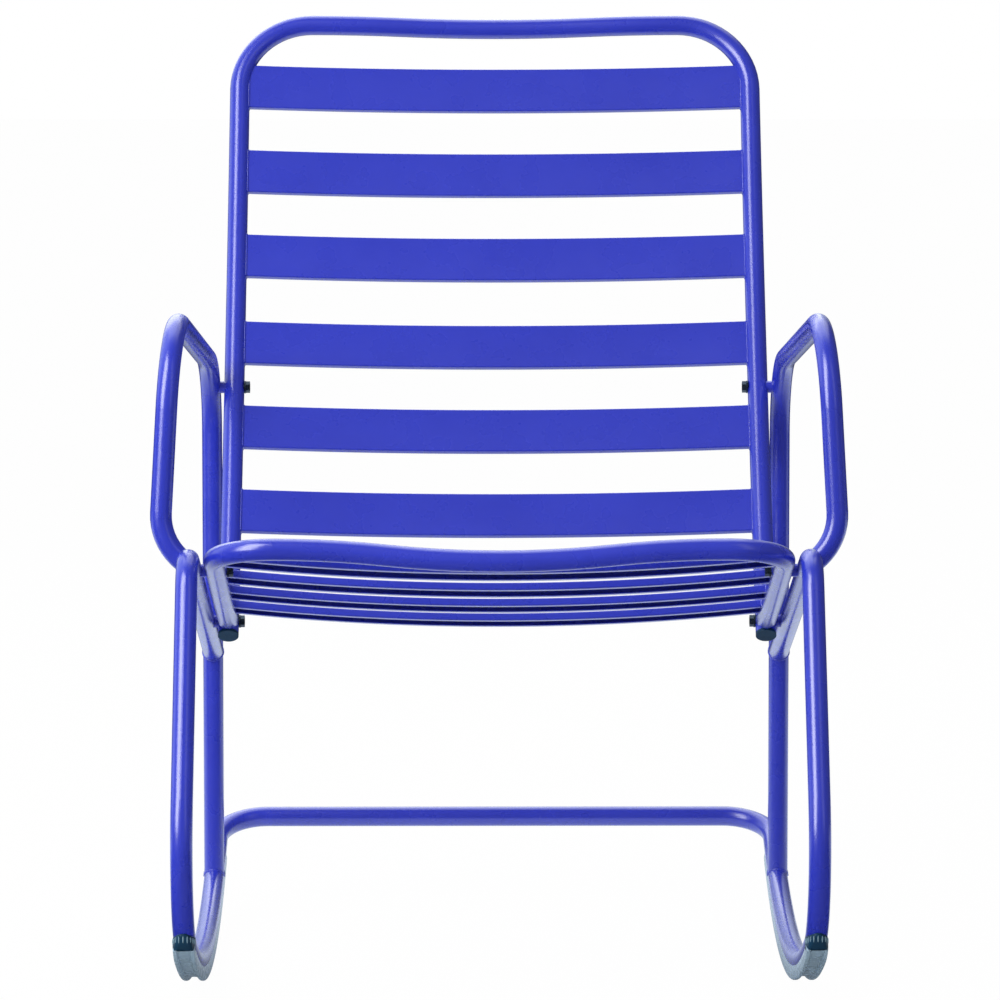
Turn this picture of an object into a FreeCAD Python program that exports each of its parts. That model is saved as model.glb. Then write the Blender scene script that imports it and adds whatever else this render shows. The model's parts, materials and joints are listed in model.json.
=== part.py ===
import FreeCAD, Part
import Sketcher
import math
import os
from FreeCAD import Matrix, Placement, Rotation, Vector

# Garden rocking chair of bent steel tube with folded sheet slats.
# Frame: +Z up, the sitter looks along -Y, the origin is on the floor under the two runners,
# midway between the lowest lines of their glides.

doc = FreeCAD.newDocument("garden_rocking_chair")

# Driving dimensions, millimetres and degrees.
SIZES = [
    ("tube_dia", 20.0, "outside diameter of every frame tube"),
    ("base_wall", 2.0, "tube wall of the base tubes and the crossbar"),
    ("frame_wall", 1.2, "tube wall of the seat, back and arm tubes"),
    ("frame_half", 260.0, "centre plane to the axis of the seat and back tubes"),
    ("spacer_gap", 3.0, "gap between the seat or back tube and the side frame"),
    ("rear_leg_y", 233.2, "rear leg axis behind the floor contact"),
    ("rail_tilt", 16.5, "slope of the rails under the seat, falling to the rear"),
    ("front_bolt_ahead", 438.0, "front seat bolt ahead of the rear leg axis"),
    ("front_bolt_z", 402.5, "height of the front seat bolt"),
    ("rear_bolt_ahead", 174.0, "rear seat bolt ahead of the rear leg axis"),
    ("leg_corner_ahead", 517.0, "sharp corner of rail and front leg ahead of the rear leg axis"),
    ("leg_corner_bend", 40.0, "centreline radius of the bend from rail to front leg"),
    ("leg_lean", 29.0, "front leg's lean forward, going down"),
    ("toe_bend", 95.0, "centreline radius of the bend from front leg to runner"),
    ("runner_bend", 1000.0, "centreline radius of the rocker runner"),
    ("runner_rear_turn", 18.5, "runner angle from the floor contact to the crossbar bend"),
    ("crossbar_bend", 50.0, "centreline radius of the crossbar corners"),
    ("arm_foot_ahead", 458.0, "arm tube's foot on the rail ahead of the rear leg axis"),
    ("arm_foot_turn", 52.0, "angle of the arm tube's foot from the vertical"),
    ("arm_foot_bend", 53.0, "centreline radius of the bend above the arm tube's foot"),
    ("arm_front_spread", 17.0, "front upper corner of the arm tube outside the side frame"),
    ("arm_front_ahead", 438.0, "front upper corner of the arm tube ahead of the rear leg axis"),
    ("arm_front_z", 638.5, "height of the front upper corner of the arm tube"),
    ("arm_low_spread", 28.0, "lower corner of the arm tube outside the side frame"),
    ("arm_rear_z", 560.5, "height of the rear upper corner of the arm tube"),
    ("arm_bend", 80.0, "centreline radius of the arm tube's upper bends"),
    ("arm_bolt_z", 539.5, "height of the bolt between back frame and arm tube"),
    ("back_curve", 3000.0, "side view radius of the back tubes"),
    ("back_rise", 339.0, "back tube from the arm bolt to the top corner, along the tube"),
    ("back_corner", 73.0, "centreline radius of the top corners of the back"),
    ("back_tail", 17.0, "back tube below the rear seat bolt, along the tube"),
    ("top_bow", 9.0, "bow of the top rail away from the sitter"),
    ("seat_curve", 9000.0, "side view radius of the seat tubes"),
    ("seat_nose", 41.0, "seat tube from the front bolt to the front corner, along the tube"),
    ("seat_corner", 55.0, "centreline radius of the front corners of the seat"),
    ("front_sag", 11.0, "sag of the seat's front rail"),
    ("slat_sheet", 1.0, "sheet thickness of the slats"),
    ("slat_flange", 7.0, "depth of the folded slat channels"),
    ("slat_lip", 7.0, "width of the lips turned in under the slat channels"),
    ("back_slat_width", 47.5, "face width of the back slats"),
    ("back_slat_first", 341.3, "middle of the top back slat above the arm bolt, along the tube"),
    ("back_slat_pitch", 96.0, "spacing of the back slats"),
    ("back_middle_gap", 3.2, "extra space between the upper and the lower three back slats"),
    ("back_slat_bow", 9.5, "bow of the back slats"),
    ("seat_slat_width", 40.0, "face width of the seat slats"),
    ("seat_slat_last", 86.0, "middle of the rear seat slat ahead of the rear bolt, along the tube"),
    ("seat_slat_pitch", 80.0, "spacing of the seat slats"),
    ("seat_slat_bow", 13.0, "bow of the seat slats"),
    ("bolt_dia", 6.0, "bolt shank diameter"),
    ("bolt_across", 10.0, "bolt head across flats"),
    ("bolt_head", 4.0, "bolt head height"),
    ("bolt_clearance", 0.2, "clearance round the bolt shank on radius"),
    ("bolt_end_room", 1.5, "threaded insert past the bolt's end"),
    ("washer_dia", 12.5, "washer outside diameter"),
    ("washer_sheet", 1.6, "washer thickness"),
    ("spacer_dia", 12.0, "spacer outside diameter"),
    ("insert_dia", 9.0, "threaded insert outside diameter"),
    ("insert_depth", 13.0, "threaded insert length from the tube's surface"),
    ("cap_head", 3.0, "thickness of the end cap's head"),
    ("cap_stem", 14.0, "length of the end cap's stem in the tube"),
    ("cap_fit", 0.15, "clearance round the end cap's stem on radius"),
    ("glide_drop", 8.5, "glide below the runner tube"),
    ("glide_wall", 1.8, "side wall of the glide"),
    ("glide_wrap", 70.0, "half angle of the runner tube that the glide wraps"),
    ("glide_groove", 4.0, "depth of the groove along the glide"),
    ("glide_groove_half", 3.4, "half width of the groove along the glide"),
    ("glide_tread", 8.6, "half width of the glide's tread"),
    ("glide_toe_turn", 26.5, "glide's wrap up the toe bend"),
    ("glide_rear_turn", 17.3, "runner angle from the floor contact to the glide's rear end"),
]

sheet = doc.addObject("Spreadsheet::Sheet", "sizes")
for row, (alias, value, meaning) in enumerate(SIZES, start=1):
    sheet.set("A%d" % row, meaning)
    sheet.set("B%d" % row, str(value))
    sheet.setAlias("B%d" % row, alias)
doc.recompute()


def size(alias):
    """Value of one driving dimension."""
    return float(sheet.get(alias))


def turn(alias):
    """One driving angle in radians."""
    return math.radians(size(alias))


# Vectors and paths.


def side_point(half, yz):
    """Point of a side view (y, z) at a distance from the centre plane."""
    return Vector(half, yz[0], yz[1])


def line_edge(start, end):
    return Part.LineSegment(start, end).toShape()


def arc_edge(centre, start, end):
    """Arc of less than half a circle about a centre."""
    radius = (start - centre).Length
    middle = (start - centre) + (end - centre)
    middle.normalize()
    return Part.Arc(start, centre + middle * radius, end).toShape()


def corner_arc(before, corner, after, radius):
    """Start, end and centre of the arc that rounds a corner between two runs."""
    back_dir = (before - corner).normalize()
    next_dir = (after - corner).normalize()
    half_angle = back_dir.getAngle(next_dir) / 2
    run = radius / math.tan(half_angle)
    bisector = (back_dir + next_dir).normalize()
    centre = corner + bisector * (radius / math.sin(half_angle))
    return corner + back_dir * run, corner + next_dir * run, centre


def rounded_path(points, radii):
    """Edges of straight runs joined by tangent arcs."""
    edges = []
    start = points[0]
    for index, radius in enumerate(radii, start=1):
        arc_start, arc_end, centre = corner_arc(points[index - 1], points[index], points[index + 1], radius)
        edges.append(line_edge(start, arc_start))
        edges.append(arc_edge(centre, arc_start, arc_end))
        start = arc_end
    edges.append(line_edge(start, points[-1]))
    return edges


def bowed_rail(start, end, bow):
    """Edges of a rail that leaves both ends in line and bows in the middle by a vector."""
    along = (end - start).normalize()
    quarter = (end - start).Length / 4
    half_bow = bow.Length / 2
    radius = (quarter ** 2 + half_bow ** 2) / (2 * half_bow)
    outward = Vector(bow).normalize()
    first = start + along * quarter + outward * half_bow
    last = end - along * quarter + outward * half_bow
    middle = start + along * (2 * quarter)
    inner_centre = middle + outward * (bow.Length - radius)
    return [
        arc_edge(start + outward * radius, start, first),
        arc_edge(inner_centre, first, last),
        arc_edge(end + outward * radius, last, end),
    ]


class SideArc:
    """Circular arc in side view, measured by length from a start point."""

    def __init__(self, start, end, radius, bulge):
        """Arc through two (y, z) points; bulge is +1 or -1 for the side that it bows to."""
        chord = Vector(end[0] - start[0], end[1] - start[1], 0)
        middle = Vector(start[0] + end[0], start[1] + end[1], 0) * 0.5
        normal = Vector(-chord.y, chord.x, 0).normalize() * bulge
        reach = math.sqrt(radius ** 2 - (chord.Length / 2) ** 2)
        self.radius = radius
        self.centre = middle - normal * reach
        self.sense = -bulge
        self.start_angle = math.atan2(start[1] - self.centre.y, start[0] - self.centre.x)
        self.length = 2 * radius * math.asin(chord.Length / 2 / radius)

    def angle(self, distance):
        return self.start_angle + self.sense * distance / self.radius

    def point(self, distance):
        angle = self.angle(distance)
        y = self.centre.x + self.radius * math.cos(angle)
        return (y, self.centre.y + self.radius * math.sin(angle))

    def direction(self, distance):
        """Unit (y, z) tangent in the sense of growing length."""
        angle = self.angle(distance)
        return (-self.sense * math.sin(angle), self.sense * math.cos(angle))

    def edge(self, half, first, last):
        points = [side_point(half, self.point(at)) for at in (first, (first + last) / 2, last)]
        return Part.Arc(*points).toShape()


# Construction points shared by several pieces.

side_half = size("frame_half") + size("tube_dia") + size("spacer_gap")
tube_radius = size("tube_dia") / 2
rear_leg_y = size("rear_leg_y")


def rail_point(ahead):
    """(y, z) on the axis of the rail, by distance ahead of the rear leg."""
    rise = (ahead - size("front_bolt_ahead")) * math.tan(turn("rail_tilt"))
    return (rear_leg_y - ahead, size("front_bolt_z") + rise)


front_bolt = rail_point(size("front_bolt_ahead"))
rear_bolt = rail_point(size("rear_bolt_ahead"))
runner_centre = Vector(0, 0, size("glide_drop") + tube_radius + size("runner_bend"))


def runner_point(angle):
    """(y, z) on the runner's axis, by angle behind the floor contact."""
    radius = size("runner_bend")
    return (radius * math.sin(angle), runner_centre.z - radius * math.cos(angle))


def toe_arc():
    """Centre of the toe bend and its ends on the leg and on the runner, in side view."""
    lean = turn("leg_lean")
    corner = rail_point(size("leg_corner_ahead"))
    bend = size("toe_bend")
    down = Vector(0, -math.sin(lean), -math.cos(lean))
    inward = Vector(0, math.cos(lean), -math.sin(lean))
    start = Vector(0, corner[0], corner[1])
    offset = start + inward * bend - runner_centre
    reach = size("runner_bend") - bend
    half = offset.dot(down)
    along = -half + math.sqrt(half ** 2 - offset.dot(offset) + reach ** 2)
    centre = start + down * along + inward * bend
    on_leg = start + down * along
    on_runner = runner_centre + (centre - runner_centre) * (size("runner_bend") / reach)
    return centre, on_leg, on_runner


toe_centre, toe_on_leg, toe_on_runner = toe_arc()
heel_angle = math.asin(rear_leg_y / size("runner_bend"))


def arm_corners(side):
    """Corners of one arm tube's path from its foot on the rail to its foot on the runner."""
    foot = side_point(side * side_half, rail_point(size("arm_foot_ahead")))
    spread = size("arm_low_spread")
    low = foot + Vector(side * spread, 0, spread / math.tan(turn("arm_foot_turn")))
    front_y = rear_leg_y - size("arm_front_ahead")
    front = Vector(side * (side_half + size("arm_front_spread")), front_y, size("arm_front_z"))
    rear = Vector(side * side_half, rear_leg_y, size("arm_rear_z"))
    heel = side_point(side * side_half, runner_point(heel_angle))
    return [foot, low, front, rear, heel]


def arm_bolt_point():
    """(y, z) of the arm bolt: on the arm tube's axis, in or below its rear bend."""
    corners = arm_corners(1)
    _, bend_end, centre = corner_arc(corners[2], corners[3], corners[4], size("arm_bend"))
    height = size("arm_bolt_z")
    if height <= bend_end.z:
        return (rear_leg_y, height)
    return (centre.y + math.sqrt(size("arm_bend") ** 2 - (height - centre.z) ** 2), height)


arm_bolt = arm_bolt_point()
back_arc = SideArc(rear_bolt, arm_bolt, size("back_curve"), -1)
seat_arc = SideArc(rear_bolt, front_bolt, size("seat_curve"), 1)

# Helpers that add objects to the document.


def axis_rotation(direction):
    return Rotation(Vector(0, 0, 1), direction)


def seam_rotation(direction):
    """Turn of a tube's section that keeps its seam off the bolt holes, which run along X."""
    seam = direction.cross(Vector(1, 0, 0))
    return Rotation(seam, Vector(), direction, "ZXY")


def ring(name, centre, direction, radius):
    """Circle across a path; its radius is an expression on the sheet."""
    circle = doc.addObject("Part::Circle", name)
    circle.setExpression("Radius", radius)
    circle.Placement = Placement(centre, seam_rotation(direction))
    return circle


def sweep(name, section, spine):
    swept = doc.addObject("Part::Sweep", name)
    swept.Sections = [section]
    swept.Spine = (spine, ["Edge%d" % (i + 1) for i in range(len(spine.Shape.Edges))])
    swept.Solid = True
    swept.Frenet = False
    return swept


def centreline(name, edges):
    path = doc.addObject("Part::Feature", name)
    path.Shape = Part.Wire(edges)
    return path


def tube_skin(label, edges, wall):
    """Solid rod of the tube's outside and the bore to cut from it."""
    path = centreline(label + "_axis", edges)
    first = edges[0]
    start = first.valueAt(first.FirstParameter)
    direction = first.tangentAt(first.FirstParameter)
    outside = ring(label + "_outside", start, direction, "sizes.tube_dia / 2")
    inside = ring(label + "_inside", start, direction, "sizes.tube_dia / 2 - sizes." + wall)
    skin = sweep(label + "_skin", outside, path)
    bore = sweep(label + "_bore", inside, path)
    return skin, bore


def cylinder(name, centre, direction, radius, height):
    """Cylinder from a point along a direction; radius and height are expressions."""
    solid = doc.addObject("Part::Cylinder", name)
    solid.setExpression("Radius", radius)
    solid.setExpression("Height", height)
    solid.Placement = Placement(centre, axis_rotation(direction))
    return solid


def cut(name, base, tools):
    """Base less each tool in turn."""
    result = base
    for number, tool in enumerate(tools, start=1):
        step = doc.addObject("Part::Cut", "%s_cut_%d" % (name, number))
        step.Base = result
        step.Tool = tool
        result = step
    return result


def group(name, members):
    compound = doc.addObject("Part::Compound", name)
    compound.Links = members
    return compound


nodes = []


def node(label, item):
    """Name one finished piece."""
    item.Label = label
    nodes.append(item)


def side_name(side):
    return "right" if side > 0 else "left"


SIDES = (-1, 1)
MOUTH_DIAMETERS = 1.5
mouth_reach = size("tube_dia") * MOUTH_DIAMETERS  # of a saddle cut to each side of its joint
mouth_length = "sizes.tube_dia * %g" % (2 * MOUTH_DIAMETERS)
INWARD = {-1: Vector(1, 0, 0), 1: Vector(-1, 0, 0)}

# Bolt axes: name, (y, z), on each side.
BOLT_AXES = [("front", front_bolt), ("rear", rear_bolt), ("arm", arm_bolt)]


def bolt_hole(name, side, yz):
    """Clearance hole right through a seat or back tube."""
    start = side_point(side * (size("frame_half") + tube_radius), yz)
    radius = "sizes.bolt_dia / 2 + sizes.bolt_clearance"
    return cylinder(name, start, INWARD[side], radius, "sizes.tube_dia")


def joint_rod(name, side, arc, at, before):
    """Straight rod that stands for a seat or back tube close to a joint, to cope its neighbours."""
    heading = arc.direction(at)
    along = Vector(0, heading[0], heading[1])
    start = side_point(side * size("frame_half"), arc.point(at)) - along * before
    return cylinder(name, start, along, "sizes.tube_dia / 2", mouth_length)


def insert_hole(name, side, yz):
    """Hole through the near wall of a side frame tube."""
    start = side_point(side * side_half, yz)
    return cylinder(name, start, INWARD[side], "sizes.insert_dia / 2", "sizes.tube_dia / 2")


# Back frame tube.


def back_frame():
    top_at = back_arc.length + size("back_rise")
    low_at = size("cap_head") - size("back_tail")
    half = size("frame_half")
    corner = size("back_corner")
    end = back_arc.point(top_at)
    heading = back_arc.direction(top_at)
    rise = Vector(0, heading[0], heading[1])
    away = Vector(0, heading[1], -heading[0])
    edges = [back_arc.edge(-half, low_at, top_at)]
    left_end = side_point(-half, end)
    right_end = side_point(half, end)
    left_top = left_end + rise * corner + Vector(corner, 0, 0)
    right_top = right_end + rise * corner - Vector(corner, 0, 0)
    edges.append(arc_edge(left_end + Vector(corner, 0, 0), left_end, left_top))
    edges += bowed_rail(left_top, right_top, away * size("top_bow"))
    edges.append(arc_edge(right_end - Vector(corner, 0, 0), right_top, right_end))
    edges.append(back_arc.edge(half, top_at, low_at))
    skin, bore = tube_skin("back_frame", edges, "frame_wall")
    holes = []
    for side in SIDES:
        holes.append(bolt_hole("back_rear_hole_%s" % side_name(side), side, rear_bolt))
        holes.append(bolt_hole("back_arm_hole_%s" % side_name(side), side, arm_bolt))
    node("back_frame_tube", cut("back_frame", skin, [bore] + holes))
    return skin


back_skin = back_frame()

# Seat frame tube, coped to the back tubes.


def seat_frame():
    root_at = tube_radius / 2
    front_at = seat_arc.length + size("seat_nose")
    half = size("frame_half")
    corner = size("seat_corner")
    end = seat_arc.point(front_at)
    heading = seat_arc.direction(front_at)
    forward = Vector(0, heading[0], heading[1])
    down = Vector(0, -heading[1], heading[0])
    left_end = side_point(-half, end)
    right_end = side_point(half, end)
    left_front = left_end + forward * corner + Vector(corner, 0, 0)
    right_front = right_end + forward * corner - Vector(corner, 0, 0)
    edges = [seat_arc.edge(-half, root_at, front_at)]
    edges.append(arc_edge(left_end + Vector(corner, 0, 0), left_end, left_front))
    edges += bowed_rail(left_front, right_front, down * size("front_sag"))
    edges.append(arc_edge(right_end - Vector(corner, 0, 0), right_front, right_end))
    edges.append(seat_arc.edge(half, front_at, root_at))
    skin, bore = tube_skin("seat_frame", edges, "frame_wall")
    holes = [bolt_hole("seat_hole_%s" % side_name(side), side, front_bolt) for side in SIDES]
    mouths = [joint_rod("seat_mouth_%s" % side_name(side), side, back_arc, 0, mouth_reach) for side in SIDES]
    node("seat_frame_tube", cut("seat_frame", skin, mouths + [bore] + holes))
    return skin


seat_skin = seat_frame()

# Side frames: base tube with rail, front leg and runner; arm tube with armrest and rear leg.


def base_edges(side):
    """Rail, front leg and runner of one side, from the rear leg to the crossbar bend."""
    half = side * side_half
    rail_end = side_point(half, rail_point(0))
    corner = side_point(half, rail_point(size("leg_corner_ahead")))
    shift = Vector(half, 0, 0)
    leg_end = toe_on_leg + shift
    bend_start, bend_end, bend_centre = corner_arc(rail_end, corner, leg_end, size("leg_corner_bend"))
    last = side_point(half, runner_point(turn("runner_rear_turn")))
    return [
        line_edge(rail_end, bend_start),
        arc_edge(bend_centre, bend_start, bend_end),
        line_edge(bend_end, leg_end),
        arc_edge(toe_centre + shift, leg_end, toe_on_runner + shift),
        arc_edge(runner_centre + shift, toe_on_runner + shift, last),
    ]


def base_tube(side):
    name = side_name(side)
    skin, bore = tube_skin(name + "_base", base_edges(side), "base_wall")
    joint = side_point(side * side_half, rail_point(0)) - Vector(0, 0, mouth_reach)
    leg = cylinder(name + "_rail_mouth", joint, Vector(0, 0, 1), "sizes.tube_dia / 2", mouth_length)
    holes = [
        insert_hole(name + "_rail_front_hole", side, front_bolt),
        insert_hole(name + "_rail_rear_hole", side, rear_bolt),
    ]
    node(name + "_base_tube", cut(name + "_base", skin, [leg, bore] + holes))
    return skin


def arm_tube(side):
    name = side_name(side)
    corners = arm_corners(side)
    radii = [size("arm_foot_bend"), size("arm_bend"), size("arm_bend")]
    skin, bore = tube_skin(name + "_arm", rounded_path(corners, radii), "frame_wall")
    rail_front = side_point(side * side_half, rail_point(size("arm_foot_ahead") + mouth_reach))
    rail_dir = corners[0] - rail_front
    rail = cylinder(name + "_foot_mouth", rail_front, rail_dir, "sizes.tube_dia / 2", mouth_length)
    spread = mouth_reach / size("runner_bend")
    first = side_point(side * side_half, runner_point(heel_angle - spread))
    last = side_point(side * side_half, runner_point(heel_angle + spread))
    shift = Vector(side * side_half, 0, 0)
    heel_path = centreline(name + "_heel_axis", [arc_edge(runner_centre + shift, first, last)])
    heading = heel_path.Shape.Edges[0].tangentAt(heel_path.Shape.Edges[0].FirstParameter)
    heel_ring = ring(name + "_heel_ring", first, heading, "sizes.tube_dia / 2")
    heel = sweep(name + "_heel_mouth", heel_ring, heel_path)
    hole = insert_hole(name + "_arm_hole", side, arm_bolt)
    node(name + "_arm_tube", cut(name + "_arm", skin, [rail, heel, bore, hole]))
    return skin


base_skins = {side: base_tube(side) for side in SIDES}
arm_skins = {side: arm_tube(side) for side in SIDES}

# Rear crossbar.


def crossbar():
    angle = turn("runner_rear_turn")
    heading = Vector(0, math.cos(angle), math.sin(angle))
    bend = size("crossbar_bend")
    left = side_point(-side_half, runner_point(angle))
    right = side_point(side_half, runner_point(angle))
    left_bar = left + heading * bend + Vector(bend, 0, 0)
    right_bar = right + heading * bend - Vector(bend, 0, 0)
    edges = [
        arc_edge(left + Vector(bend, 0, 0), left, left_bar),
        line_edge(left_bar, right_bar),
        arc_edge(right - Vector(bend, 0, 0), right_bar, right),
    ]
    skin, bore = tube_skin("crossbar", edges, "base_wall")
    node("rear_crossbar", cut("crossbar", skin, [bore]))


crossbar()

# Slats: a folded channel revolved about a far axis, so that it bows, with saddle ends on the tubes.


def plane_of(body, role):
    for feature in body.Origin.OriginFeatures:
        if feature.Role == role:
            return feature
    raise ValueError("no origin plane " + role)


def bow_expression(bow):
    """Radius of a slat whose middle bows by a named size between the tubes."""
    span = "(sizes.frame_half - sizes.tube_dia / 2)"
    return "(%s ^ 2 + sizes.%s ^ 2) / (2 * sizes.%s)" % (span, bow, bow)


def channel_sketch(body, name, width, bow, bow_radius):
    """Lipped channel section in the body's YZ plane, face up, with the bow's axis above it."""
    sketch = body.newObject("Sketcher::SketchObject", name)
    sketch.AttachmentSupport = [(plane_of(body, "YZ_Plane"), "")]
    sketch.MapMode = "FlatFace"
    half = size(width) / 2
    sheet_t = size("slat_sheet")
    depth = size("slat_flange")
    lip = size("slat_lip")
    face = depth / 2 - size(bow)
    bottom = face - depth
    outline = [
        (-half, face),
        (half, face),
        (half, bottom),
        (half - lip, bottom),
        (half - lip, bottom + sheet_t),
        (half - sheet_t, bottom + sheet_t),
        (half - sheet_t, face - sheet_t),
        (sheet_t - half, face - sheet_t),
        (sheet_t - half, bottom + sheet_t),
        (lip - half, bottom + sheet_t),
        (lip - half, bottom),
        (-half, bottom),
    ]
    count = len(outline)
    for index, (x, y) in enumerate(outline):
        x_next, y_next = outline[(index + 1) % count]
        sketch.addGeometry(Part.LineSegment(Vector(x, y, 0), Vector(x_next, y_next, 0)), False)
    for index in range(count):
        sketch.addConstraint(Sketcher.Constraint("Coincident", index, 2, (index + 1) % count, 1))
    for index in range(1, count):
        flat = "Horizontal" if index % 2 == 0 else "Vertical"
        sketch.addConstraint(Sketcher.Constraint(flat, index))
    sketch.addConstraint(Sketcher.Constraint("Symmetric", 0, 1, 0, 2, -2))
    for right, left in ((1, 11), (2, 10), (3, 9), (4, 8)):
        sketch.addConstraint(Sketcher.Constraint("Equal", right, left))
    bound = [
        (("DistanceX", 0, 1, 0, 2, size(width)), "sizes." + width),
        (("DistanceY", 1, 2, 1, 1, depth), "sizes.slat_flange"),
        (("DistanceX", 2, 2, 2, 1, lip), "sizes.slat_lip"),
        (("DistanceY", 3, 1, 3, 2, sheet_t), "sizes.slat_sheet"),
        (("DistanceX", 5, 1, 1, 2, sheet_t), "sizes.slat_sheet"),
        (("DistanceY", 6, 1, 1, 1, sheet_t), "sizes.slat_sheet"),
        (("DistanceY", 0, 1, -1, 1, -face), "sizes.%s - sizes.slat_flange / 2" % bow),
    ]
    axis = sketch.addGeometry(
        Part.LineSegment(Vector(-half, face + bow_radius, 0), Vector(half, face + bow_radius, 0)), True
    )
    sketch.addConstraint(Sketcher.Constraint("Horizontal", axis))
    sketch.addConstraint(Sketcher.Constraint("Vertical", 0, 1, axis, 1))
    sketch.addConstraint(Sketcher.Constraint("Vertical", 0, 2, axis, 2))
    bound.append((("DistanceY", 0, 1, axis, 1, bow_radius), bow_expression(bow)))
    for values, expression in bound:
        index = sketch.addConstraint(Sketcher.Constraint(*values))
        sketch.setExpression("Constraints[%d]" % index, expression)
    return sketch


def slat(label, width, bow, placement, tube):
    span = size("frame_half") - tube_radius
    bow_radius = (span ** 2 + size(bow) ** 2) / (2 * size(bow))
    body = doc.addObject("PartDesign::Body", label + "_body")
    sketch = channel_sketch(body, label + "_section", width, bow, bow_radius)
    doc.recompute()
    bend = body.newObject("PartDesign::Revolution", label + "_channel")
    bend.Profile = sketch
    bend.ReferenceAxis = (sketch, ["Axis0"])
    bend.Midplane = True
    bend.setExpression("Angle", "2 * asin(sizes.frame_half / (%s))" % bow_expression(bow))
    body.Placement = placement
    doc.recompute()
    node(label, cut(label, body, [tube]))


def slat_placement(arc, at, facing):
    """Frame of a slat: its width along the tube, its face towards the sitter."""
    heading = arc.direction(at)
    along = Vector(0, heading[0], heading[1])
    face = Vector(0, -heading[1], heading[0]) * facing
    across = along.cross(face)
    point = side_point(0, arc.point(at))
    columns = Matrix(
        across.x, along.x, face.x, point.x,
        across.y, along.y, face.y, point.y,
        across.z, along.z, face.z, point.z,
        0, 0, 0, 1,
    )
    return Placement(columns)


BACK_SLATS = 6
SEAT_SLATS = 4


def slats():
    for number in range(BACK_SLATS):
        at = back_arc.length + size("back_slat_first") - number * size("back_slat_pitch")
        if number >= BACK_SLATS / 2:
            at -= size("back_middle_gap")
        place = slat_placement(back_arc, at, 1)
        slat("back_slat_%d" % (number + 1), "back_slat_width", "back_slat_bow", place, back_skin)
    for number in range(SEAT_SLATS):
        at = size("seat_slat_last") + (SEAT_SLATS - 1 - number) * size("seat_slat_pitch")
        place = slat_placement(seat_arc, at, -1)
        slat("seat_slat_%d" % (number + 1), "seat_slat_width", "seat_slat_bow", place, seat_skin)


slats()

# Bolted joints: bolt, washer, spacer and threaded insert at six places.

# Tubes that each spacer sits on: name, arc, place along it and reach behind that place.
SPACER_SEATS = {
    "front": [("seat", seat_arc, seat_arc.length, mouth_reach)],
    "rear": [("back", back_arc, 0, mouth_reach), ("seat", seat_arc, 0, 0)],
    "arm": [("back", back_arc, back_arc.length, mouth_reach)],
}


def bolted_joints():
    bolts = []
    washers = []
    spacers = []
    inserts = []
    hole_radius = "sizes.bolt_dia / 2 + sizes.bolt_clearance"
    grip = "sizes.washer_sheet + sizes.tube_dia + sizes.spacer_gap"
    shank_length = grip + " + sizes.insert_depth - sizes.bolt_end_room"
    washer_radius = "sizes.washer_dia / 2"
    insert_radius = "sizes.insert_dia / 2"
    sleeve_length = "sizes.spacer_gap + sizes.insert_depth"
    thread_length = sleeve_length + " + sizes.tube_dia"
    for side in SIDES:
        outward = INWARD[side] * -1
        for place, yz in BOLT_AXES:
            name = "%s_%s" % (place, side_name(side))
            seat_face = side_point(side * (size("frame_half") - tube_radius), yz)
            head_face = seat_face - outward * size("washer_sheet")
            head = doc.addObject("Part::Prism", "bolt_head_" + name)
            head.Polygon = 6
            head.setExpression("Circumradius", "sizes.bolt_across / 2 / cos(30 deg)")
            head.setExpression("Height", "sizes.bolt_head")
            head.Placement = Placement(head_face, axis_rotation(outward * -1))
            shank = cylinder("bolt_shank_" + name, head_face, outward, "sizes.bolt_dia / 2", shank_length)
            bolt = doc.addObject("Part::Fuse", "bolt_" + name)
            bolt.Base = head
            bolt.Tool = shank
            bolts.append(bolt)
            disc = cylinder("washer_disc_" + name, head_face, outward, washer_radius, "sizes.washer_sheet")
            eye = cylinder("washer_eye_" + name, head_face, outward, hole_radius, "sizes.washer_sheet")
            washers.append(cut("washer_" + name, disc, [eye]))
            tube_axis = side_point(side * size("frame_half"), yz)
            reach = "sizes.tube_dia + sizes.spacer_gap"
            rod = cylinder("spacer_rod_" + name, tube_axis, outward, "sizes.spacer_dia / 2", reach)
            bore = cylinder("spacer_bore_" + name, tube_axis, outward, hole_radius, reach)
            outer_skin = arm_skins[side] if place == "arm" else base_skins[side]
            inner_rods = [
                joint_rod("spacer_%s_on_%s" % (name, tube), side, arc, at, before)
                for tube, arc, at, before in SPACER_SEATS[place]
            ]
            spacers.append(cut("spacer_" + name, rod, inner_rods + [outer_skin, bore]))
            sleeve_start = side_point(side * (size("frame_half") + tube_radius), yz)
            barrel = cylinder("insert_barrel_" + name, sleeve_start, outward, insert_radius, sleeve_length)
            thread = cylinder("insert_thread_" + name, tube_axis, outward, hole_radius, thread_length)
            trimmed = doc.addObject("Part::Common", "insert_" + name)
            trimmed.Base = cut("insert_sleeve_" + name, barrel, [thread])
            trimmed.Tool = outer_skin
            inserts.append(trimmed)
    node("frame_bolts", group("bolts", bolts))
    node("bolt_washers", group("washers", washers))
    node("frame_spacers", group("spacers", spacers))
    node("threaded_inserts", group("inserts", inserts))


bolted_joints()

# End caps of the back tubes.


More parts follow.
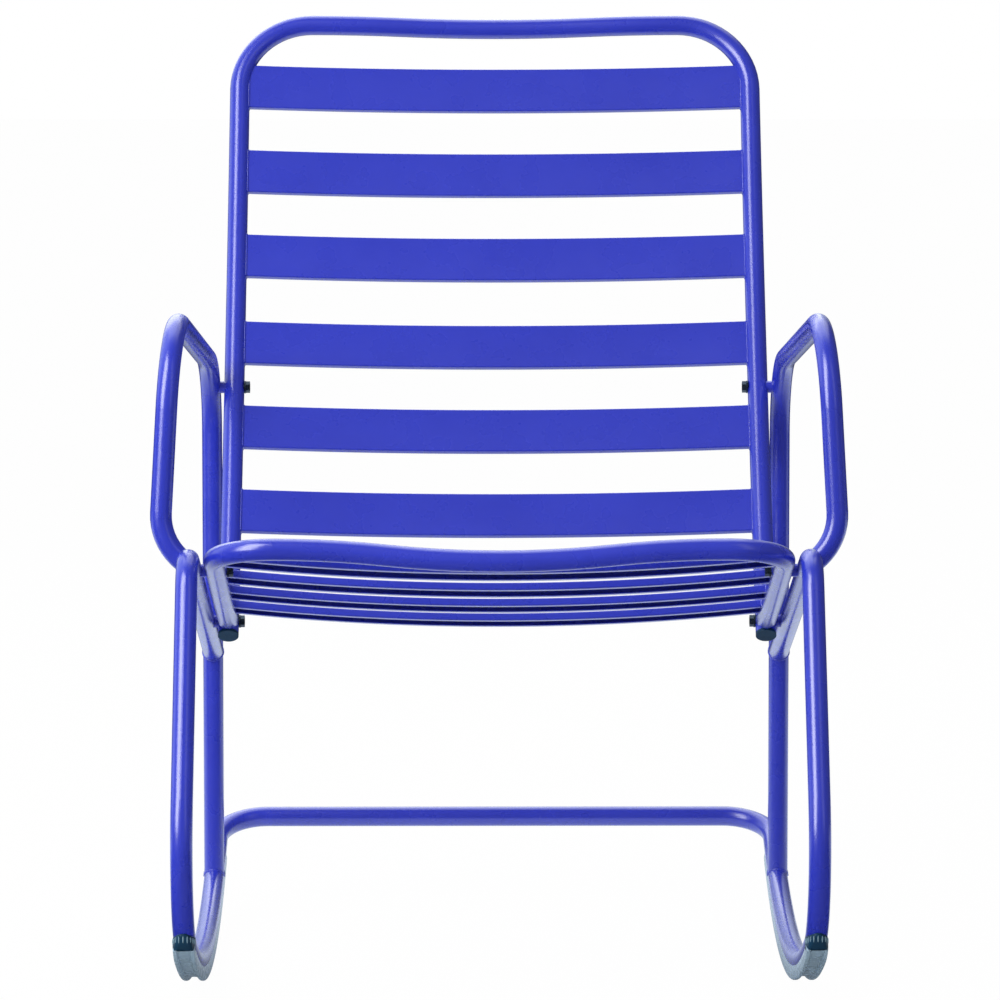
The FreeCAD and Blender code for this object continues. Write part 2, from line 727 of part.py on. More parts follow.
def end_caps():
    stem_radius = "sizes.tube_dia / 2 - sizes.frame_wall - sizes.cap_fit"
    tail = size("cap_head") - size("back_tail")
    heading = back_arc.direction(tail)
    upward = Vector(0, heading[0], heading[1])
    for side in SIDES:
        name = side_name(side) + "_cap"
        mouth = side_point(side * size("frame_half"), back_arc.point(tail))
        head = cylinder(name + "_head", mouth, upward * -1, "sizes.tube_dia / 2", "sizes.cap_head")
        stem = cylinder(name + "_stem", mouth, upward, stem_radius, "sizes.cap_stem")
        bolt_room = bolt_hole(name + "_bolt_room", side, rear_bolt)
        plug = doc.addObject("Part::Fuse", name + "_plug")
        plug.Base = head
        plug.Tool = stem
        node(side_name(side) + "_back_end_cap", cut(name, plug, [bolt_room]))


end_caps()

# Glide strips under the runners.


def glide_section(rear, outward):
    """Closed section round the underside of the runner tube at the glide's rear end."""
    wrap = turn("glide_wrap")
    wall = tube_radius + size("glide_wall")
    tread = tube_radius + size("glide_drop")
    groove_floor = tread - size("glide_groove")
    groove = size("glide_groove_half")

    def at(across, out):
        return rear + Vector(across, 0, 0) + outward * out

    lip = at(tube_radius * math.sin(wrap), tube_radius * math.cos(wrap))
    lip_mirror = at(-tube_radius * math.sin(wrap), tube_radius * math.cos(wrap))
    inner = Part.Arc(lip_mirror, at(0, tube_radius), lip).toShape()
    right = [
        lip,
        at(wall * math.sin(wrap), wall * math.cos(wrap)),
        at(wall * math.sin(wrap), tube_radius),
        at(size("glide_tread"), tread),
        at(groove + size("glide_groove"), tread),
        at(groove, groove_floor),
    ]
    mirror = [Vector(2 * rear.x - point.x, point.y, point.z) for point in reversed(right)]
    outline = right + mirror
    edges = [inner]
    edges += [line_edge(start, end) for start, end in zip(outline, outline[1:])]
    return Part.Wire(edges)


def glides():
    rear_angle = turn("glide_rear_turn")
    rise = turn("glide_toe_turn")
    to_runner = toe_on_runner - toe_centre
    toe_end = toe_centre + Rotation(Vector(1, 0, 0), -math.degrees(rise)).multVec(to_runner)
    for side in SIDES:
        shift = Vector(side * side_half, 0, 0)
        rear = side_point(side * side_half, runner_point(rear_angle))
        outward = (rear - runner_centre - shift).normalize()
        edges = [
            arc_edge(runner_centre + shift, rear, toe_on_runner + shift),
            arc_edge(toe_centre + shift, toe_on_runner + shift, toe_end + shift),
        ]
        path = centreline(side_name(side) + "_glide_axis", edges)
        section = doc.addObject("Part::Feature", side_name(side) + "_glide_section")
        section.Shape = glide_section(rear, outward)
        strip = sweep(side_name(side) + "_glide_strip", section, path)
        strip.Frenet = True
        node(side_name(side) + "_runner_glide", strip)


glides()

# Build, check and write every piece.

doc.recompute()
for item in doc.Objects:
    if "Invalid" in item.State or "Error" in item.State:
        raise RuntimeError("failed object: %s %s" % (item.Name, item.State))
for item in nodes:
    shape = item.Shape
    if shape.isNull() or not shape.isValid() or not shape.Solids:
        raise RuntimeError("bad shape: " + item.Label)

os.makedirs("parts", exist_ok=True)
for item in nodes:
    item.Shape.exportStep("parts/%s.step" % item.Label)
    print("%-22s solids %d volume %.1f" % (item.Label, len(item.Shape.Solids), item.Shape.Volume))
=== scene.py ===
"""Garden rocking chair: powder coat, folded slats, welds, bolts, end caps and runner glides."""

import json
import math

import bmesh
import bpy
import numpy as np
from mathutils import Matrix, Vector


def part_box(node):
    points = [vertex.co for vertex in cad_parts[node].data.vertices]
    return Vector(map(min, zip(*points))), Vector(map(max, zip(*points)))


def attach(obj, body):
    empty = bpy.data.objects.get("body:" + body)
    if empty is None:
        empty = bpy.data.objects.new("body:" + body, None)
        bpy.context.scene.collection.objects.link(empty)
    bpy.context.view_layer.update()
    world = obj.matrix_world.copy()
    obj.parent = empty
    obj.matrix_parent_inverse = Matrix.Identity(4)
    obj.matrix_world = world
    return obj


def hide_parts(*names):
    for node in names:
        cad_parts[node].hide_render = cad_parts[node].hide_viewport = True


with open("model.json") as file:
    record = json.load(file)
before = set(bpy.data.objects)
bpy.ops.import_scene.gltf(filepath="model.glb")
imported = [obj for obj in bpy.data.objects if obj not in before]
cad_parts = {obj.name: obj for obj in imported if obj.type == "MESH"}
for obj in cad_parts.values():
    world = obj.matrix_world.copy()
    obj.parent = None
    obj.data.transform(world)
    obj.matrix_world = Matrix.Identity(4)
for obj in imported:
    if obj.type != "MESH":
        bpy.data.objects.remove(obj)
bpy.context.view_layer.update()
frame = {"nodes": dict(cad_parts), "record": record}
nodes = frame["nodes"]

# Sizes read from the frame, in metres.

MM = 0.001
base_low, base_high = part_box("right_base_tube")
TUBE_R = (base_high.x - base_low.x) / 2
SIDE_HALF = (base_high.x + base_low.x) / 2
FRAME_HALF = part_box("seat_frame_tube")[1].x - TUBE_R

# Sizes of the joints and the runners, as the frame is built.

REAR_LEG_Y = 233.2 * MM
RAIL_TILT = math.radians(16.5)
FRONT_BOLT_AHEAD = 438 * MM
FRONT_BOLT_Z = 402.5 * MM
ARM_FOOT_AHEAD = 458 * MM
ARM_FOOT_TURN = math.radians(52)
GLIDE_DROP = 8.5 * MM
RUNNER_BEND = 1000 * MM
GLIDE_REAR_TURN = math.radians(17.3)
TOE_BEND = 95 * MM
LEG_LEAN = math.radians(29)
LEG_CORNER_AHEAD = 517 * MM

# Slats. The trials are the directions tried for a slat's face, and the last two values are the
# sides, in y and z, that the faces turn to.

SLAT_SHEET = 1.0 * MM
SLAT_FOLD = 1.4 * MM
SLAT_FOLD_STEPS = 6
SLAT_DEPTH = 7.0 * MM
SLAT_LIP = 7.0 * MM
SLAT_STATIONS = 41
SLAT_SHARP = math.radians(40)
SLAT_TRIALS = 3601
BACK_SLATS = 6
SEAT_SLATS = 4
BACK_TOWARDS = (-0.82, 0.57)
SEAT_TOWARDS = (0.28, 0.96)

# Weld beads.

WELD_R = 0.95 * MM
WELD_RIPPLE = 0.2 * MM
WELD_PITCH = 1.8 * MM
WELD_STEPS_PER_PITCH = 4
WELD_ROUND = 10
WELD_FOLD_STEPS = 4
WELD_SADDLE_STEPS = 64

# Broken edges of the caps and bolts.

CAP_EDGE = 0.8 * MM
BOLT_EDGE = 0.35 * MM
EDGE_SEGMENTS = 3
EDGE_ANGLE = math.radians(35)

# Distances below which points are one: on the frame's meshes and on the slats.

FRAME_MERGE = 1e-5
SLAT_MERGE = 1e-6

# Strips of the glides, with the half widths and depths of their channel.

STRIP_WRAP = math.radians(60)
STRIP_WRAP_STEPS = 16
STRIP_LIP = 0.8 * MM
STRIP_SHOULDER = (10.0 * MM, 10.6 * MM)
STRIP_TREAD_HALF = 9.5 * MM
CHANNEL_MOUTH_HALF = 6.3 * MM
CHANNEL_FLOOR_HALF = 5.5 * MM
CHANNEL_SIDE_DEPTH = 3.4 * MM
CHANNEL_MIDDLE_DEPTH = 3.6 * MM
STRIP_ROUNDS = (0.3 * MM, 1.6 * MM, 1.3 * MM, 1.0 * MM, 0.8 * MM)
STRIP_ROUND_STEPS = 5
STRIP_FRONT_TURN = math.radians(18)
STRIP_FRONT_TILT = math.radians(10)
RUNNER_RINGS = 60
TOE_RINGS = 24

# Noses of the glides and their ribs. The powers set how square a nose is at its bottom and top.

NOSE_TOP_TURN = math.radians(25.4)
NOSE_TOP_TILT = math.radians(14.5)
NOSE_HALF = 10.25 * MM
NOSE_LIP = 0.7 * MM
NOSE_REACH = math.radians(86)
NOSE_TAPER = 0.85
NOSE_LOW_POWER = 6.5
NOSE_HIGH_POWER = 2.0
NOSE_RINGS = 13
NOSE_STEPS = 48
RIB_COUNT = 13
RIB_R = 0.6 * MM
RIB_HALF = 3.4 * MM
RIB_LOW = 0.5
RIB_MIDDLE = 0.72
RIB_HIGH = 0.95
RIB_MARGIN = 4
RIB_SEGMENTS = 10
RIB_RINGS = 8

SIDES = (-1, 1)


def side_name(side):
    return "right" if side > 0 else "left"


# Node trees.

FLOAT = "NodeSocketFloat"
INTEGER = "NodeSocketInt"
VECTOR = "NodeSocketVector"
MATERIAL = "NodeSocketMaterial"
GEOMETRY = "NodeSocketGeometry"


def feed(tree, socket, value):
    """Link a socket to another, or set its value."""
    if isinstance(value, bpy.types.NodeSocket):
        tree.links.new(value, socket)
    else:
        socket.default_value = value


def add(tree, kind, inputs=None, **settings):
    """New node with its settings and its input sockets linked or set."""
    node = tree.nodes.new(kind)
    for key, value in settings.items():
        setattr(node, key, value)
    for key, value in (inputs or {}).items():
        feed(tree, node.inputs[key], value)
    return node


def calc(tree, operation, *values):
    """Output of one math node, for a shader or a geometry tree."""
    node = add(tree, "ShaderNodeMath", operation=operation)
    for socket, value in zip(node.inputs, values):
        feed(tree, socket, value)
    return node.outputs[0]


def geometry_tree(name, sizes):
    """New Geometry Nodes tree with named inputs; returns it and its input sockets."""
    tree = bpy.data.node_groups.new(name, "GeometryNodeTree")
    tree.interface.new_socket("Geometry", in_out="INPUT", socket_type=GEOMETRY)
    for label, kind in sizes.items():
        tree.interface.new_socket(label, in_out="INPUT", socket_type=kind)
    tree.interface.new_socket("Geometry", in_out="OUTPUT", socket_type=GEOMETRY)
    return tree, tree.nodes.new("NodeGroupInput").outputs


def close_tree(tree, geometry, material):
    """Realize, shade, set the material and end the tree."""
    real = add(tree, "GeometryNodeRealizeInstances", {"Geometry": geometry}).outputs[0]
    smooth = add(tree, "GeometryNodeSetShadeSmooth", {"Geometry": real}).outputs[0]
    coated = add(tree, "GeometryNodeSetMaterial", {"Geometry": smooth, "Material": material}).outputs[0]
    add(tree, "NodeGroupOutput", {"Geometry": coated})


def linked(name, data):
    """New object in the scene."""
    made = bpy.data.objects.new(name, data)
    bpy.context.scene.collection.objects.link(made)
    return made


def grown_mesh(tree, host_mesh, values, thickness=0.0):
    """Mesh that a tree grows from a host mesh, with an optional wall."""
    host = linked("host", host_mesh)
    modifier = host.modifiers.new("grow", "NODES")
    modifier.node_group = tree
    for item in tree.interface.items_tree:
        if item.item_type == "SOCKET" and item.in_out == "INPUT" and item.name in values:
            modifier[item.identifier] = values[item.name]
    if thickness:
        wall = host.modifiers.new("wall", "SOLIDIFY")
        wall.thickness = thickness
        wall.offset = -1
        wall.use_even_offset = True
    evaluated = host.evaluated_get(bpy.context.evaluated_depsgraph_get())
    mesh = bpy.data.meshes.new_from_object(evaluated)
    bpy.data.objects.remove(host)
    return mesh


# Pieces.


def piece(name, mesh, replaced=()):
    """Object at the origin that rides on the chair."""
    mesh.name = name
    made = linked(name, mesh)
    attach(made, "root")
    if replaced:
        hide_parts(*replaced)


def joined(name, meshes):
    """One mesh of several, with their materials."""
    result = bmesh.new()
    materials = []
    for mesh in meshes:
        offset = len(materials)
        start = len(result.faces)
        result.from_mesh(mesh)
        result.faces.ensure_lookup_table()
        for face in result.faces[start:]:
            face.material_index += offset
        materials.extend(mesh.materials)
    mesh = bpy.data.meshes.new(name)
    result.to_mesh(mesh)
    result.free()
    for material in materials:
        mesh.materials.append(material)
    return mesh


def wire_mesh(points, closed):
    """Mesh of edges along points."""
    mesh = bpy.data.meshes.new("wire")
    edges = [(i, i + 1) for i in range(len(points) - 1)]
    if closed:
        edges.append((len(points) - 1, 0))
    mesh.from_pydata([tuple(point) for point in points], edges, [])
    return mesh


# Finishes.

NOISE_RANGE = (0.3, 0.7)
GRAIN_DETAIL = 2


def linear(red, green, blue):
    """Scene colour of a display colour given in 0 to 255."""
    channels = []
    for value in (red, green, blue):
        share = value / 255
        channels.append(share / 12.92 if share <= 0.04045 else ((share + 0.055) / 1.055) ** 2.4)
    return (*channels, 1)


def noise(tree, place, scale, detail):
    inputs = {"Vector": place, "Scale": scale, "Detail": detail}
    return add(tree, "ShaderNodeTexNoise", inputs).outputs["Fac"]


def spread(tree, value, low, high):
    """The usual range of a noise value spread over another range."""
    least, most = NOISE_RANGE
    limits = {"Value": value, "From Min": least, "From Max": most, "To Min": low, "To Max": high}
    return add(tree, "ShaderNodeMapRange", limits).outputs["Result"]


def two_tone(tree, value, first, second):
    """Colour between two tones."""
    mix = add(tree, "ShaderNodeMix", {"Factor": value}, data_type="RGBA")
    for socket in mix.inputs:
        if socket.name == "A" and socket.type == "RGBA":
            socket.default_value = first
        if socket.name == "B" and socket.type == "RGBA":
            socket.default_value = second
    return next(s for s in mix.outputs if s.type == "RGBA")


def finish(name, tones, cloud, rough, rough_cloud, grain=None, sockets=None):
    """Material of two close tones with an uneven roughness and a fine grain.

    The clouds are a noise's scale and detail, and the grain its scale, strength and depth.
    """
    material = bpy.data.materials.new(name)
    material.use_nodes = True
    tree = material.node_tree
    shader = tree.nodes["Principled BSDF"]
    place = add(tree, "ShaderNodeTexCoord").outputs["Object"]
    tone = two_tone(tree, spread(tree, noise(tree, place, *cloud), 0, 1), *tones)
    feed(tree, shader.inputs["Base Color"], tone)
    feed(tree, shader.inputs["Roughness"], spread(tree, noise(tree, place, *rough_cloud), *rough))
    if grain:
        scale, strength, depth = grain
        peel = {"Strength": strength, "Distance": depth, "Height": noise(tree, place, scale, GRAIN_DETAIL)}
        feed(tree, shader.inputs["Normal"], add(tree, "ShaderNodeBump", peel).outputs["Normal"])
    for socket, value in (sockets or {}).items():
        shader.inputs[socket].default_value = value
    return material


# Satin, with the fine peel of baked powder.
BLUE = finish(
    "ultramarine_powder_coat",
    tones=(linear(38, 52, 190), linear(44, 58, 198)),
    cloud=(9, 3),
    rough=(0.25, 0.31),
    rough_cloud=(40, 3),
    grain=(700, 0.12, 0.00015),
    sockets={"IOR": 1.5, "Coat Weight": 0.75, "Coat Roughness": 0.26, "Coat IOR": 1.8},
)
# Blue-black plastic of the end caps and the glides' noses.
DARK = finish(
    "dark_moulded_plastic",
    tones=(linear(14, 52, 78), linear(20, 62, 90)),
    cloud=(60, 3),
    rough=(0.36, 0.5),
    rough_cloud=(160, 2),
    grain=(1500, 0.15, 0.0001),
    sockets={"Specular IOR Level": 0.22},
)
# Paler plastic of the nose ribs: a painted highlight where the ribs catch the key light.
RIB_HIGHLIGHT = finish(
    "rib_highlight_plastic",
    tones=(linear(112, 146, 164), linear(136, 166, 184)),
    cloud=(200, 3),
    rough=(0.3, 0.42),
    rough_cloud=(300, 2),
    grain=(1500, 0.15, 0.0001),
)
# Smoke-grey plastic of the glide strips.
GREY = finish(
    "grey_extruded_plastic",
    tones=(linear(150, 176, 195), linear(162, 187, 204)),
    cloud=(30, 3),
    rough=(0.2, 0.3),
    rough_cloud=(80, 2),
    grain=(500, 0.1, 0.0001),
)
# Black oxide of the bolts and washers.
BLACK = finish(
    "black_oxide_steel",
    tones=(linear(44, 58, 70), linear(66, 80, 92)),
    cloud=(300, 3),
    rough=(0.2, 0.32),
    rough_cloud=(600, 2),
    grain=(2500, 0.1, 0.00005),
    sockets={"Metallic": 0.7},
)
# Bright zinc of the threaded inserts.
ZINC = finish(
    "zinc_plated_steel",
    tones=(linear(168, 170, 172), linear(190, 192, 196)),
    cloud=(400, 3),
    rough=(0.28, 0.4),
    rough_cloud=(900, 2),
    sockets={"Metallic": 1.0},
)
FINISHES = {
    "blue_powder_coat": BLUE,
    "black_plastic": DARK,
    "grey_plastic": GREY,
    "black_steel": BLACK,
    "zinc_steel": ZINC,
}


def coat_frame():
    """Give every carried-over piece of the frame its finish."""
    slots = {row["node"]: row["material_slot"] for row in frame["record"]["subparts"]}
    for name, made in nodes.items():
        made.data.materials.clear()
        made.data.materials.append(FINISHES[slots[name]])


coat_frame()

# Slats: a folded channel, bowed, with saddle ends on the tubes.

HALF_TURN = [np.array([math.cos(angle), math.sin(angle)]) for angle in np.linspace(0, math.pi, SLAT_TRIALS)]


def box_area(points, way):
    """Area of the box round the points, turned this way and at least as wide as deep."""
    deep = np.ptp(points @ way)
    wide = np.ptp(points @ np.array([way[1], -way[0]]))
    return deep * wide if wide > deep else math.inf


class SlatFrame:
    """Place, width and bow of one slat, measured on its frame node."""

    def __init__(self, node, towards):
        points = np.array([vertex.co for vertex in nodes[node].data.vertices])[:, 1:]
        face = min(HALF_TURN, key=lambda way: box_area(points, way))
        if face @ np.array(towards) < 0:
            face = -face
        along = np.array([face[1], -face[0]])
        across = points @ along
        heights = points @ face
        self.width = np.ptp(across)
        self.bow = np.ptp(heights) - SLAT_DEPTH
        origin = along * (across.max() - self.width / 2) + face * (heights.max() - SLAT_DEPTH / 2)
        y_axis = Vector((0, *along))
        z_axis = Vector((0, *face))
        self.matrix = Matrix((y_axis.cross(z_axis), y_axis, z_axis)).transposed().to_4x4()
        self.matrix.translation = Vector((0, *origin))


def channel_section(tree, given, index):
    """Curve of a lipped channel with rounded folds."""
    half_width = calc(tree, "MULTIPLY", given["Width"], 0.5)
    half_depth = calc(tree, "MULTIPLY", given["Depth"], 0.5)
    left = calc(tree, "MULTIPLY", half_width, -1)
    low = calc(tree, "MULTIPLY", half_depth, -1)
    left_lip = calc(tree, "ADD", left, given["Lip"])
    right_lip = calc(tree, "SUBTRACT", half_width, given["Lip"])
    places = [
        (left_lip, low), (left, low), (left, half_depth),
        (half_width, half_depth), (half_width, low), (right_lip, low),
    ]
    line = add(tree, "GeometryNodeCurvePrimitiveLine", {"End": (1, 0, 0)}).outputs[0]
    line = add(tree, "GeometryNodeResampleCurve", {"Curve": line, "Count": len(places)}).outputs[0]
    corners = add(tree, "GeometryNodeIndexSwitch", {"Index": index}, data_type="VECTOR")
    while len(corners.index_switch_items) < len(places):
        corners.index_switch_items.new()
    for number, (across, up) in enumerate(places):
        spot = add(tree, "ShaderNodeCombineXYZ", {"X": across, "Y": up}).outputs[0]
        tree.links.new(spot, corners.inputs[number + 1])
    bent = {"Geometry": line, "Position": corners.outputs[0]}
    section = add(tree, "GeometryNodeSetPosition", bent).outputs[0]
    rounding = {"Curve": section, "Radius": given["Fold"], "Count": SLAT_FOLD_STEPS}
    return add(tree, "GeometryNodeFilletCurve", rounding, mode="POLY").outputs[0]


def folded_slat_tree():
    """A flat sheet of stations and section points, laid on the channel, cut to the tubes and bowed."""
    sizes = {
        "Half Span": FLOAT, "Tube Radius": FLOAT, "Width": FLOAT, "Depth": FLOAT,
        "Lip": FLOAT, "Fold": FLOAT, "Bow": FLOAT, "Stations": INTEGER, "Finish": MATERIAL,
    }
    tree, given = geometry_tree("folded_slat", sizes)
    index = add(tree, "GeometryNodeInputIndex").outputs[0]
    section = channel_section(tree, given, index)
    count = add(tree, "GeometryNodeAttributeDomainSize", {"Geometry": section}, component="CURVE")
    count = count.outputs["Point Count"]
    sheet = add(
        tree, "GeometryNodeMeshGrid",
        {"Size X": 2.0, "Size Y": 1.0, "Vertices X": given["Stations"], "Vertices Y": count},
    ).outputs[0]
    row = calc(tree, "FLOORED_MODULO", index, count)
    place = add(tree, "GeometryNodeInputPosition").outputs[0]
    pick = add(
        tree, "GeometryNodeSampleIndex", {"Geometry": section, "Value": place, "Index": row},
        data_type="FLOAT_VECTOR", domain="POINT",
    ).outputs[0]
    on_section = add(tree, "ShaderNodeSeparateXYZ", {"Vector": pick}).outputs
    station = add(tree, "ShaderNodeSeparateXYZ", {"Vector": place}).outputs["X"]
    radius_2 = calc(tree, "POWER", given["Tube Radius"], 2.0)
    height_2 = calc(tree, "POWER", on_section["Y"], 2.0)
    saddle = calc(tree, "SQRT", calc(tree, "SUBTRACT", radius_2, height_2))
    end = calc(tree, "SUBTRACT", given["Half Span"], saddle)
    along = calc(tree, "MULTIPLY", station, end)
    inner = calc(tree, "SUBTRACT", given["Half Span"], given["Tube Radius"])
    share = calc(tree, "POWER", calc(tree, "DIVIDE", along, inner), 2.0)
    sag = calc(tree, "MULTIPLY", given["Bow"], calc(tree, "SUBTRACT", 1.0, share))
    height = calc(tree, "SUBTRACT", on_section["Y"], sag)
    target = add(tree, "ShaderNodeCombineXYZ", {"X": along, "Y": on_section["X"], "Z": height}).outputs[0]
    laid = add(tree, "GeometryNodeSetPosition", {"Geometry": sheet, "Position": target}).outputs[0]
    close_tree(tree, laid, given["Finish"])
    return tree


def outward_faces(mesh):
    """Merge doubles and point the faces of a closed mesh outwards."""
    work = bmesh.new()
    work.from_mesh(mesh)
    bmesh.ops.remove_doubles(work, verts=work.verts, dist=SLAT_MERGE)
    bmesh.ops.recalc_face_normals(work, faces=work.faces)
    work.to_mesh(mesh)
    work.free()


SLAT_TREE = folded_slat_tree()
SLATS = [("back_slat_%d" % (n + 1), BACK_TOWARDS) for n in range(BACK_SLATS)]
SLATS += [("seat_slat_%d" % (n + 1), SEAT_TOWARDS) for n in range(SEAT_SLATS)]
slat_frames = {node: SlatFrame(node, towards) for node, towards in SLATS}


def slat_sheet(node, slat):
    """One folded slat in place of its frame node."""
    values = {
        "Half Span": FRAME_HALF, "Tube Radius": TUBE_R, "Width": slat.width, "Depth": SLAT_DEPTH,
        "Lip": SLAT_LIP, "Fold": SLAT_FOLD, "Bow": slat.bow, "Stations": SLAT_STATIONS, "Finish": BLUE,
    }
    mesh = grown_mesh(SLAT_TREE, bpy.data.meshes.new("seed"), values, SLAT_SHEET)
    mesh.transform(slat.matrix)
    outward_faces(mesh)
    mesh.set_sharp_from_angle(angle=SLAT_SHARP)
    piece(node + "_sheet", mesh, [node])


for slat_node, slat_frame in slat_frames.items():
    slat_sheet(slat_node, slat_frame)

# Welds.


def weld_tree():
    """A bead along edges, with the ripple of its passes."""
    sizes = {"Radius": FLOAT, "Ripple": FLOAT, "Pitch": FLOAT, "Finish": MATERIAL}
    tree, given = geometry_tree("weld_bead", sizes)
    line = add(tree, "GeometryNodeMeshToCurve", {"Mesh": given["Geometry"]}).outputs[0]
    step = calc(tree, "MULTIPLY", given["Pitch"], 1 / WELD_STEPS_PER_PITCH)
    line = add(tree, "GeometryNodeResampleCurve", {"Curve": line, "Length": step}, mode="LENGTH").outputs[0]
    length = add(tree, "GeometryNodeSplineParameter").outputs["Length"]
    passes = calc(tree, "DIVIDE", length, given["Pitch"])
    wave = calc(tree, "SINE", calc(tree, "MULTIPLY", passes, math.pi))
    swell = calc(tree, "MULTIPLY", calc(tree, "ABSOLUTE", wave), given["Ripple"])
    radius = calc(tree, "ADD", given["Radius"], swell)
    thick = add(tree, "GeometryNodeSetCurveRadius", {"Curve": line, "Radius": 1.0}).outputs[0]
    profile = {"Resolution": WELD_ROUND, "Radius": 1.0}
    circle = add(tree, "GeometryNodeCurvePrimitiveCircle", profile).outputs[0]
    bead = add(
        tree, "GeometryNodeCurveToMesh",
        {"Curve": thick, "Profile Curve": circle, "Scale": radius, "Fill Caps": True},
    ).outputs[0]
    close_tree(tree, bead, given["Finish"])
    return tree


WELD_TREE = weld_tree()
WELD_SIZES = {"Radius": WELD_R, "Ripple": WELD_RIPPLE, "Pitch": WELD_PITCH, "Finish": BLUE}


def bead_along(points, closed):
    return grown_mesh(WELD_TREE, wire_mesh(points, closed), WELD_SIZES)


def slat_weld_points(slat, side):
    """Line round the outside of a slat's channel where it meets the tube."""
    half_width = slat.width / 2
    half_depth = SLAT_DEPTH / 2
    outline = [(-half_width, -half_depth), (-half_width, half_depth - SLAT_FOLD)]
    for step in range(1, WELD_FOLD_STEPS + 1):
        angle = math.radians(90) * step / WELD_FOLD_STEPS
        across = -half_width + SLAT_FOLD * (1 - math.cos(angle))
        up = half_depth - SLAT_FOLD * (1 - math.sin(angle))
        outline.append((across, up))
    outline += [(-across, up) for across, up in reversed(outline)]
    points = []
    for across, up in outline:
        along = FRAME_HALF - math.sqrt(TUBE_R ** 2 - up ** 2)
        points.append(slat.matrix @ Vector((side * along, across, up)))
    return points


def slat_welds():
    """Beads at both ends of every slat."""
    for node, slat in slat_frames.items():
        beads = [bead_along(slat_weld_points(slat, side), False) for side in SIDES]
        piece(node + "_welds", joined(node + "_welds", beads))


slat_welds()


def saddle_points(joint, branch, main):
    """Line where a branch tube meets a main tube of the same size."""
    branch = branch.normalized()
    main = main.normalized()
    first = branch.cross(main).normalized()
    second = branch.cross(first)
    slope = branch - main * branch.dot(main)
    points = []
    for step in range(WELD_SADDLE_STEPS):
        angle = 2 * math.pi * step / WELD_SADDLE_STEPS
        ring = (first * math.cos(angle) + second * math.sin(angle)) * TUBE_R
        flat = ring - main * ring.dot(main)
        lean = flat.dot(slope)
        gap = max(lean ** 2 - slope.length_squared * (flat.length_squared - TUBE_R ** 2), 0.0)
        reach = (-lean + math.sqrt(gap)) / slope.length_squared
        points.append(joint + branch * reach + ring)
    return points


def rail_place(side, ahead):
    """Point on the axis of the rail under the seat, ahead of the rear leg."""
    rise = (ahead - FRONT_BOLT_AHEAD) * math.tan(RAIL_TILT)
    return Vector((side * SIDE_HALF, REAR_LEG_Y - ahead, FRONT_BOLT_Z + rise))


RAIL_AHEAD = Vector((0, -math.cos(RAIL_TILT), math.sin(RAIL_TILT)))
RUNNER_CENTRE_Z = GLIDE_DROP + TUBE_R + RUNNER_BEND


def runner_place(side, angle):
    """Point on the runner's axis, behind the floor contact by an angle."""
    y = RUNNER_BEND * math.sin(angle)
    return Vector((side * SIDE_HALF, y, RUNNER_CENTRE_Z - RUNNER_BEND * math.cos(angle)))


def frame_welds():
    """Beads of each side frame: at the arm's foot, the rail's rear end and the heel."""
    heel_angle = math.asin(REAR_LEG_Y / RUNNER_BEND)
    heel_way = Vector((0, math.cos(heel_angle), math.sin(heel_angle)))
    upright = Vector((0, 0, 1))
    for side in SIDES:
        foot_way = Vector((side * math.sin(ARM_FOOT_TURN), 0, math.cos(ARM_FOOT_TURN)))
        beads = [
            bead_along(saddle_points(rail_place(side, ARM_FOOT_AHEAD), foot_way, RAIL_AHEAD), True),
            bead_along(saddle_points(rail_place(side, 0), RAIL_AHEAD, upright), True),
            bead_along(saddle_points(runner_place(side, heel_angle), upright, heel_way), True),
        ]
        name = side_name(side) + "_frame_welds"
        piece(name, joined(name, beads))


frame_welds()

# Caps and bolts keep their solids, with their edges broken.


def broken_edges(node, width):
    """Weld the carried-over mesh and round its edges."""
    made = nodes[node]
    made.modifiers.new("close", "WELD").merge_threshold = FRAME_MERGE
    edge = made.modifiers.new("edge", "BEVEL")
    edge.width = width
    edge.segments = EDGE_SEGMENTS
    edge.limit_method = "ANGLE"
    edge.angle_limit = EDGE_ANGLE


for cap_side in SIDES:
    broken_edges(side_name(cap_side) + "_back_end_cap", CAP_EDGE)
broken_edges("frame_bolts", BOLT_EDGE)

# Runner glides: a grooved strip with a ribbed nose on the toe bend.


def toe_places():
    """Centre of the toe bend and its turn from straight down to where it meets the runner."""
    inward = Vector((0, math.cos(LEG_LEAN), -math.sin(LEG_LEAN)))
    down = Vector((0, -math.sin(LEG_LEAN), -math.cos(LEG_LEAN)))
    corner = rail_place(0, LEG_CORNER_AHEAD)
    centre = Vector((0, 0, RUNNER_CENTRE_Z))
    offset = corner + inward * TOE_BEND - centre
    reach = RUNNER_BEND - TOE_BEND
    half = offset.dot(down)
    along = -half + math.sqrt(half ** 2 - offset.length_squared + reach ** 2)
    toe = corner + inward * TOE_BEND + down * along
    way = (toe - centre).normalized()
    return toe, math.atan2(-way.y, -way.z)


TOE_CENTRE, TOE_START = toe_places()


def ahead_and_down(turn):
    """Unit vector turned forward from straight down."""
    return Vector((0, -math.sin(turn), -math.cos(turn)))


def on_bend(centre, bend, turn, side, spot):
    """Place of a section's spot, across and out from the tube's axis, at a turn of a bend."""
    across = Vector((side * SIDE_HALF + spot.x, 0, 0))
    return centre + ahead_and_down(turn) * (bend + spot.y) + across


def front_turn(spot, turn, tilt):
    """Turn of a front edge that lies flatter than square across the tube."""
    return TOE_START + turn - tilt * (1 - spot.y / spot.length)


